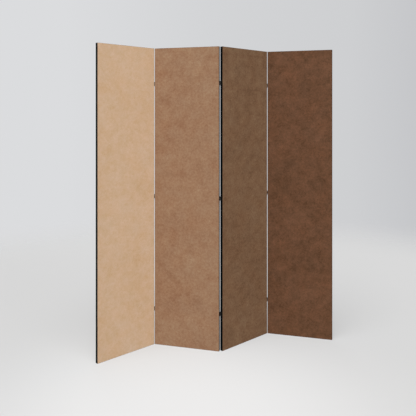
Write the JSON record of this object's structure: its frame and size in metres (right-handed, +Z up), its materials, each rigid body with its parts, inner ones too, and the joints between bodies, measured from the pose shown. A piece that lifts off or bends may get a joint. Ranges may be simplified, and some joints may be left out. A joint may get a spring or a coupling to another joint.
{
  "type": "room divider",
  "caption": "Free-standing folding screen: tall flat canvas panels in graded brown tones, black edges, small butt hinges, standing in a zigzag.",
  "frame": {"origin": "on the floor, at the middle of the box that the screen fills as it stands in its zigzag", "axes": "+Z up the panels, +X along the screen from its lightest panel to its darkest, -Y towards the viewer, whom the front faces"},
  "size_m": [1.4322, 0.2156, 1.78],
  "materials": {
    "sand_canvas": "matt printed canvas with a fine mottled grain",
    "clay_canvas": "matt printed canvas with a fine mottled grain",
    "umber_canvas": "matt printed canvas with a fine mottled grain",
    "cocoa_canvas": "matt printed canvas with a fine mottled grain",
    "black_tape": "matt black woven edging tape",
    "pine": "planed, unfinished softwood",
    "black_hinge": "satin black lacquered steel",
    "hinge_pin": "satin black steel wire",
    "screw": "black passivated steel"
  },
  "bodies": {
    "panel_1": {"fold_1_bottom_leaf_left": "black_hinge", "fold_1_middle_leaf_left": "black_hinge", "fold_1_pins": "hinge_pin", "fold_1_top_leaf_left": "black_hinge", "panel_1_back_canvas": "sand_canvas", "panel_1_bottom_rail": "pine", "panel_1_cross_rail": "pine", "panel_1_edge_tape": "black_tape", "panel_1_front_canvas": "sand_canvas", "panel_1_screws_right": "screw", "panel_1_stile_left": "pine", "panel_1_stile_right": "pine", "panel_1_top_rail": "pine"},
    "panel_2": {"fold_1_bottom_leaf_right": "black_hinge", "fold_1_middle_leaf_right": "black_hinge", "fold_1_top_leaf_right": "black_hinge", "fold_2_bottom_leaf_left": "black_hinge", "fold_2_middle_leaf_left": "black_hinge", "fold_2_pins": "hinge_pin", "fold_2_top_leaf_left": "black_hinge", "panel_2_back_canvas": "clay_canvas", "panel_2_bottom_rail": "pine", "panel_2_cross_rail": "pine", "panel_2_edge_tape": "black_tape", "panel_2_front_canvas": "clay_canvas", "panel_2_screws_left": "screw", "panel_2_screws_right": "screw", "panel_2_stile_left": "pine", "panel_2_stile_right": "pine", "panel_2_top_rail": "pine"},
    "panel_3": {"fold_2_bottom_leaf_right": "black_hinge", "fold_2_middle_leaf_right": "black_hinge", "fold_2_top_leaf_right": "black_hinge", "fold_3_bottom_leaf_left": "black_hinge", "fold_3_middle_leaf_left": "black_hinge", "fold_3_pins": "hinge_pin", "fold_3_top_leaf_left": "black_hinge", "panel_3_back_canvas": "umber_canvas", "panel_3_bottom_rail": "pine", "panel_3_cross_rail": "pine", "panel_3_edge_tape": "black_tape", "panel_3_front_canvas": "umber_canvas", "panel_3_screws_left": "screw", "panel_3_screws_right": "screw", "panel_3_stile_left": "pine", "panel_3_stile_right": "pine", "panel_3_top_rail": "pine"},
    "panel_4": {"fold_3_bottom_leaf_right": "black_hinge", "fold_3_middle_leaf_right": "black_hinge", "fold_3_top_leaf_right": "black_hinge", "panel_4_back_canvas": "cocoa_canvas", "panel_4_bottom_rail": "pine", "panel_4_cross_rail": "pine", "panel_4_edge_tape": "black_tape", "panel_4_front_canvas": "cocoa_canvas", "panel_4_screws_left": "screw", "panel_4_stile_left": "pine", "panel_4_stile_right": "pine", "panel_4_top_rail": "pine"}
  },
  "joints": [
    {"name": "fold_1", "type": "hinge", "parent": "panel_2", "child": "panel_1", "pos_m": [-0.35894, 0.09265, 0.89], "axis": [0, 0, 1], "range_deg": [-60, 120]},
    {"name": "fold_2", "type": "hinge", "parent": "panel_2", "child": "panel_3", "pos_m": [0, -0.09265, 0.89], "axis": [0, 0, 1], "range_deg": [-60, 120]},
    {"name": "fold_3", "type": "hinge", "parent": "panel_3", "child": "panel_4", "pos_m": [0.35894, 0.09265, 0.89], "axis": [0, 0, -1], "range_deg": [-60, 120]}
  ]
}
